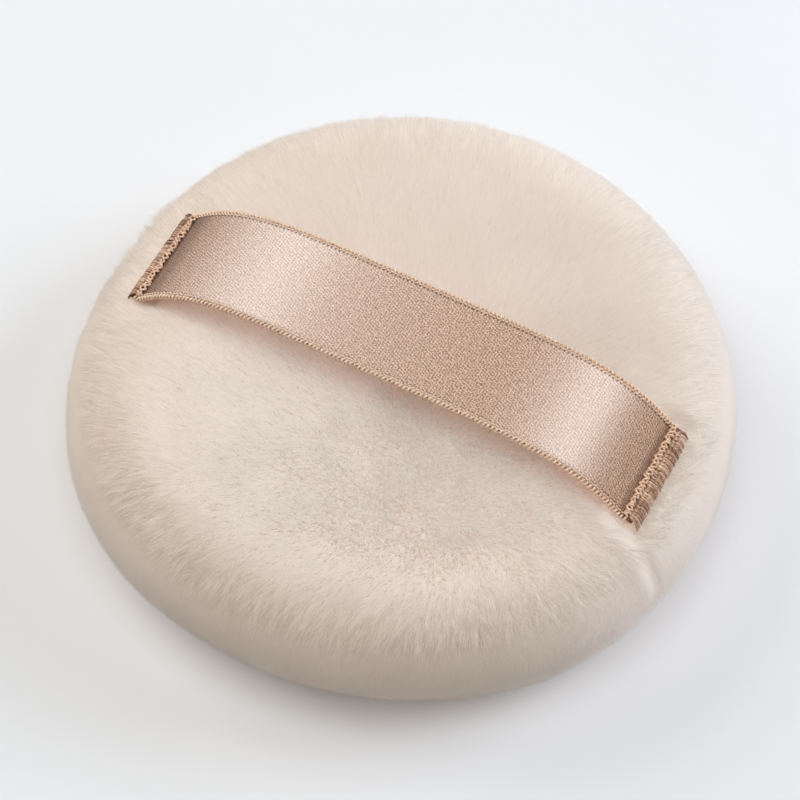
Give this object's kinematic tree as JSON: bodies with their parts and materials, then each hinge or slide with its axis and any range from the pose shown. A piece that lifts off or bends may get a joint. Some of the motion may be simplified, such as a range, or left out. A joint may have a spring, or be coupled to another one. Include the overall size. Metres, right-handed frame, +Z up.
{
  "type": "powder puff",
  "caption": "Round plush powder puff for applying loose or pressed powder, with a satin finger ribbon arched over the crown and sewn down at both ends.",
  "frame": {"origin": "centre of the flat face that the puff rests on", "axes": "+Z up through the crown, +X along the ribbon, +Y to the back"},
  "size_m": [0.08, 0.081, 0.0245],
  "materials": {
    "plush": "short dense pile",
    "foam": "open-cell sponge",
    "seam_thread": "spun thread",
    "satin": "satin weave",
    "edge_thread": "lustrous thread"
  },
  "bodies": {
    "puff": {"top_panel": "plush", "face_panel": "plush", "foam_core": "foam", "rim_seam": "seam_thread", "closing_stitch": "seam_thread", "bar_tack_left": "edge_thread", "bar_tack_right": "edge_thread", "bobbin_row_left": "seam_thread", "bobbin_row_right": "seam_thread"},
    "ribbon": {"ribbon_band": "satin", "ribbon_edge_front": "edge_thread", "ribbon_edge_back": "edge_thread"}
  },
  "joints": [
    {"name": "ribbon_lift", "type": "slide", "parent": "puff", "child": "ribbon", "axis": [0, 0, 1], "range_m": [-0.0035, 0.003], "stiffness_N_per_m": 12, "deforming": ["ribbon_band", "ribbon_edge_front", "ribbon_edge_back"]}
  ]
}
